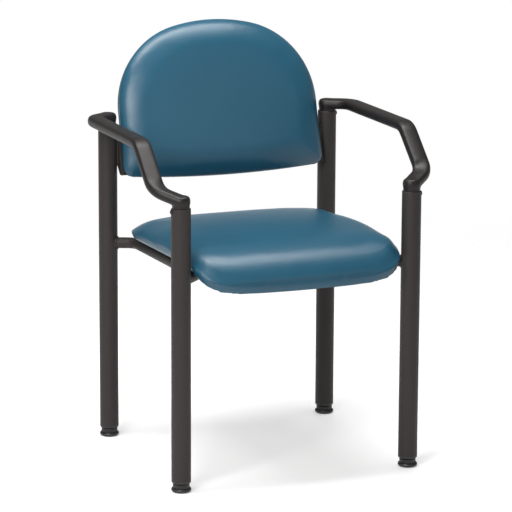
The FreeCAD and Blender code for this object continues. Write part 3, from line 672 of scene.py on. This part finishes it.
# Its turned edge lies under the ridge and near the outline, and is rounded most at the seat's sides.
turned_top = -0.001
turned_full = -0.007
turned_near = 0.03
turned_far = 0.045
turned_middle = 0.15
turned_side_start = 0.6
turned_side_full = 0.85


def seat_edge(place):
    reach, offset = on_seat(place)
    across = abs(place.x) / outline_half_width
    under_ridge = 1 - ease(offset, turned_full, turned_top)
    near_outline = 1 - ease(seat_room(place.x, reach), turned_near, turned_far)
    at_side = ease(across, turned_side_start, turned_side_full)
    return under_ridge * near_outline * (turned_middle + (1 - turned_middle) * at_side)


# The crown falls off to a rolled nose in front, to the rear edge, and to the two front corners.
nose_start = -0.145
nose_length = 0.11
nose_power = 2.1
nose_flatten = 0.6
nose_side_start = 0.75
nose_side_relief = 0.3
seat_rear = 0.188
crown_width = 0.12
crown_rise = 0.03
rear_drop = 0.005
corner_melt = 0.6
corner_melt_rise = 0.006
corner_slope = 0.9


def crown_fall(share, reach, offset, room, corner):
    """How far the crown is let down at a place. Share is 0 in the seat's middle and 1 at its sides."""
    side = ease(share, nose_side_start, 1.0)
    from_front = min(max((nose_start - reach) / nose_length, 0.0), 1.0)
    from_rear = min(max(1 - (seat_rear - reach) / crown_width, 0.0), 1.0)
    flatten = nose_flatten * from_front ** nose_power * (1 - nose_side_relief * side)
    fall = flatten * max(offset, 0.0) + rear_drop * from_rear ** 2 * ease(offset, 0.0, crown_rise)
    steep = offset - fall - corner_slope * room
    return fall + corner_melt * corner * max(steep, 0.0) * ease(offset, 0.0, corner_melt_rise)


# The lip under the ridge is trimmed to a smooth curve, then drawn down in front and at the corners.
lip_height = 0.015
lip_squareness = 5
lip_deepening = 0.30
corner_deepening = 0.35
front_belly = 0.0035
belly_power = 1.5
belly_depth = 0.012


def lip_trim(share, offset):
    """How far a place hangs below the smooth curve that the lip is trimmed to."""
    lowest = -lip_height * math.sqrt(1 - share ** lip_squareness)
    return max(lowest - offset, 0.0)


def lip_fall(share, offset, front, corner):
    """How far the trimmed lip is drawn down, with a belly in the middle of the front."""
    deeper = (lip_deepening * front + corner_deepening * corner) * max(-offset, 0.0)
    belly = front_belly * (1 - share ** 2) ** belly_power * ease(-offset, 0.0, belly_depth) * front
    return deeper + belly


# The board's edge stands out as the ridge, with a crease over it, both crispest at the corners.
ridge_stand = 0.0012
crease_depth = 0.0012
crease_width = 0.006
least_crispness = 0.1
corner_fullness = 0.0025
corner_fullness_height = 0.025


def band_relief(offset, corner):
    """How far the band stands out from the seat's side."""
    crispness = least_crispness + (1 - least_crispness) * corner
    crease = crease_depth * bell(offset - crease_width, crease_width)
    stand = ridge_stand * bell(offset, crease_width / 2)
    full = corner_fullness * bell(offset, corner_fullness_height) * corner
    return crispness * (stand - crease) + full


front_fade = 0.07
corner_start = 0.5
corner_full = 0.9
side_slope = 0.5


def shape_seat(piece):
    """Lets the crown down, trims and draws down the lip, and presses the board's edge through."""
    normals = [vertex.normal.copy() for vertex in piece.data.vertices]
    for vertex, normal in zip(piece.data.vertices, normals):
        reach, offset = on_seat(vertex.co)
        room = seat_room(vertex.co.x, reach)
        share = min(abs(vertex.co.x) / outline_half_width, 1.0)
        front = ease(roll_start - reach, 0.0, front_fade)
        corner = ease(share, corner_start, corner_full) * front
        fall = crown_fall(share, reach, offset, room, corner)
        trim = front * lip_trim(share, offset)
        offset += trim
        vertex.co.z += trim - fall - lip_fall(share, offset, front, corner)
        sideways = Vector((normal.x, normal.y, 0))
        if sideways.length > side_slope:
            vertex.co += sideways.normalized() * band_relief(offset - fall, corner)


vinyl = make_vinyl()
seat = upholster(
    "seat_cushion", "seat_vinyl", seat_voxel, lambda normal: normal.z < held_slope,
    seat_tightness, seat_edge, seat_edge_smoothing
)
shape_seat(seat)


# Rear shell and its screws
# A shallow moulded dish of black plastic closes the back of the rest, screwed to the board through
# four bosses. Its outside has a coarse spark-eroded grain.
back_recline = math.radians(16)
back_up = Vector((0, math.sin(back_recline), math.cos(back_recline)))
back_front = Vector((0, -math.cos(back_recline), math.sin(back_recline)))
back_forward = 0.0008
back_height = 0.648
back_root = Vector((0, middle("leg_rear_left").y - back_forward, back_height))
shell_screw_across = 0.13
shell_screw_rows = {"upper": 0.11, "lower": -0.06}
shell_screw_depth = -0.0166


def make_shell_plastic():
    plastic, shader, place = new_material("grained_black_plastic", Specular_IOR_Level=0.3)
    tone = place.noise(0.07, detail=3.0)
    grain = place.noise(0.0011, detail=3.0, roughness=0.65)
    colour = (0.6 * tone + 0.4 * grain).between(paint(19, 18, 18), paint(30, 28, 28))
    finish_material(shader, colour, grain.spread(0.5, 0.64), grain, depth=0.0003)
    return plastic


dress(make_shell_plastic(), "back_shell")
shell_screw = socket_screw(diameter=0.008, height=0.0024, shank_diameter=0.0035, shank_length=0.012)
for row, up in shell_screw_rows.items():
    for side, sign in two_sides.items():
        across = Vector((sign * shell_screw_across, 0, 0))
        bearing = back_root + back_up * up + back_front * shell_screw_depth + across
        name = "shell_screw_" + row + "_" + side
        drive(shell_screw, name, bearing, -back_front, "back_shell_screws")
bpy.data.objects.remove(shell_screw)


# Backrest cushion
# A domed foam pad under the same vinyl, drawn over the arched board and gathered in at the seam
# where the rear shell meets it, so that its rim rolls back all the way round.
back_voxel = 0.0055
back_edge_smoothing = 8
back_thick = 0.037
back_tight_depth = 0.01
back_slack_depth = 0.024
back_seam_width = 0.005
back_half_width = 0.2154
back_arch_start = 0.0243
back_shoulder = 0.172
back_bottom = 0.1085
back_bottom_sag = 0.0104
rim_width = 0.058
rim_drop = 0.014


def back_depth(place):
    """How far a place stands in front of the pad's seam."""
    return (place - back_root).dot(back_front)


def back_tightness(place):
    return 1 - ease(back_depth(place), back_tight_depth, back_slack_depth)


def back_edge(place):
    return bell(back_depth(place), back_seam_width)


def roll_rim(piece):
    """Eases the pad's front back towards its outline, most at the outline itself."""
    for vertex in piece.data.vertices:
        across = abs(vertex.co.x)
        up = (vertex.co - back_root).dot(back_up)
        room = back_half_width - across
        if up > back_arch_start:
            past_shoulder = max(across - back_half_width + back_shoulder, 0)
            room = back_shoulder - math.hypot(past_shoulder, up - back_arch_start)
        sag = back_bottom_sag * (1 - (across / back_half_width) ** 2)
        room = min(room, up + back_bottom + sag)
        share = min(max(1 - room / rim_width, 0.0), 1.0)
        depth = min(max(back_depth(vertex.co) / back_thick, 0.0), 1.0)
        vertex.co -= back_front * rim_drop * share ** 2 * depth


back = upholster(
    "back_cushion", "back_vinyl", back_voxel, lambda normal: normal.dot(back_front) < held_slope,
    back_tightness, back_edge, back_edge_smoothing
)
roll_rim(back)


# Floor, light and camera
# A pale floor that fades into a white studio, a large soft light high on the left, a wide one
# overhead, and weaker fills in front and behind. The camera stands where the photograph's did.
floor_radius = 2.6
floor_sides = 96
floor_colour = (0.86, 0.86, 0.86, 1)
floor_glow = 0.38
fade_start = 0.35 * floor_radius
fade_end = 0.95 * floor_radius
white = (1, 1, 1, 1)
ambient = 0.10
dark_ceiling = 0.26
ceiling_start = -0.05
ceiling_end = 0.08
camera_place = Vector((-2.1924, -5.4432, 1.7244))
camera_aim = Vector((-0.0037, -0.0150, 0.4037))
camera_roll = math.radians(0.264)
scene = bpy.context.scene
scene.view_settings.view_transform = "Standard"


def ray_kinds(tree):
    """Whether a ray comes from the camera, off a glossy surface, or through a clear one."""
    rays = tree.nodes.new("ShaderNodeLightPath")
    kinds = ("Is Camera Ray", "Is Glossy Ray", "Is Transmission Ray")
    return [Shade(tree, rays.outputs[kind]) for kind in kinds]


def make_floor():
    bpy.ops.object.select_all(action="DESELECT")
    bpy.ops.mesh.primitive_circle_add(vertices=floor_sides, radius=floor_radius, fill_type="NGON")
    floor = bpy.context.object
    floor.name = "studio_floor"
    made = bpy.data.materials.new("pale_floor")
    made.use_nodes = True
    tree = made.node_tree
    tree.nodes.clear()
    place = Shade(tree, tree.nodes.new("ShaderNodeTexCoord").outputs["Object"])
    reach = place.node("ShaderNodeVectorMath", {"operation": "LENGTH"}, {0: place}, 1)
    fade = reach.span(fade_start, fade_end)
    from_camera, off_gloss, through_clear = ray_kinds(tree)
    seen = from_camera + off_gloss + through_clear
    diffuse = place.node("ShaderNodeBsdfDiffuse", {}, {"Color": floor_colour})
    glow = place.node("ShaderNodeEmission", {}, {"Color": white, "Strength": floor_glow * seen})
    lit = place.node("ShaderNodeAddShader", {}, {0: diffuse, 1: glow})
    clear = place.node("ShaderNodeBsdfTransparent", {}, {})
    mixed = place.node("ShaderNodeMixShader", {}, {0: fade, 1: lit, 2: clear})
    output = tree.nodes.new("ShaderNodeOutputMaterial")
    tree.links.new(mixed.socket, output.inputs["Surface"])
    floor.data.materials.append(made)
    floor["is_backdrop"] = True


def make_surround():
    """White where the camera sees it, darker overhead in reflections, and a low even light."""
    world = bpy.data.worlds.new("white_studio")
    scene.world = world
    world.use_nodes = True
    tree = world.node_tree
    aim = Shade(tree, tree.nodes.new("ShaderNodeTexCoord").outputs["Generated"])
    ceiling = aim.upward().span(ceiling_start, ceiling_end, 1.0, dark_ceiling)
    from_camera, off_gloss, through_clear = ray_kinds(tree)
    mirrored = (off_gloss + through_clear).span(0, 1)
    strength = from_camera + (1 - from_camera) * (mirrored * ceiling + (1 - mirrored) * ambient)
    background = tree.nodes["Background"]
    background.inputs["Color"].default_value = white
    tree.links.new(strength.socket, background.inputs["Strength"])


def soft_light(name, place, aim, width, height, power, mirrored=True):
    """A rectangular light that may or may not show in glossy surfaces."""
    light = bpy.data.lights.new(name, "AREA")
    light.shape = "RECTANGLE"
    light.size = width
    light.size_y = height
    light.energy = power
    lamp = bpy.data.objects.new(name, light)
    scene.collection.objects.link(lamp)
    lamp.visible_glossy = mirrored
    lamp.location = place
    lamp.rotation_euler = (Vector(aim) - Vector(place)).to_track_quat("-Z", "Y").to_euler()


make_floor()
make_surround()
soft_light("key_light", (-1.62, -1.62, 1.72), (0, 0, 0.5), width=1.1, height=1.1, power=44)
soft_light("overhead_light", (-0.25, 0.0, 2.45), (-0.25, 0, 0), width=2.1, height=0.8, power=60)
soft_light("front_fill", (0.86, -2.64, 1.62), (0, 0, 0.6), width=1.4, height=0.9, power=4)
soft_light("rear_fill", (1.0, 2.6, 1.9), (0, 0, 0.5), width=1.6, height=1.2, power=18, mirrored=False)

lens = bpy.data.cameras.new("photo_view")
lens.sensor_width = 36
lens.lens = 211.8
camera = bpy.data.objects.new("photo_view", lens)
scene.collection.objects.link(camera)
camera.location = camera_place
camera.rotation_mode = "QUATERNION"
look = (camera_aim - camera_place).to_track_quat("-Z", "Y")
camera.rotation_quaternion = look @ Quaternion((0, 0, 1), camera_roll)
scene.camera = camera

low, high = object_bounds()
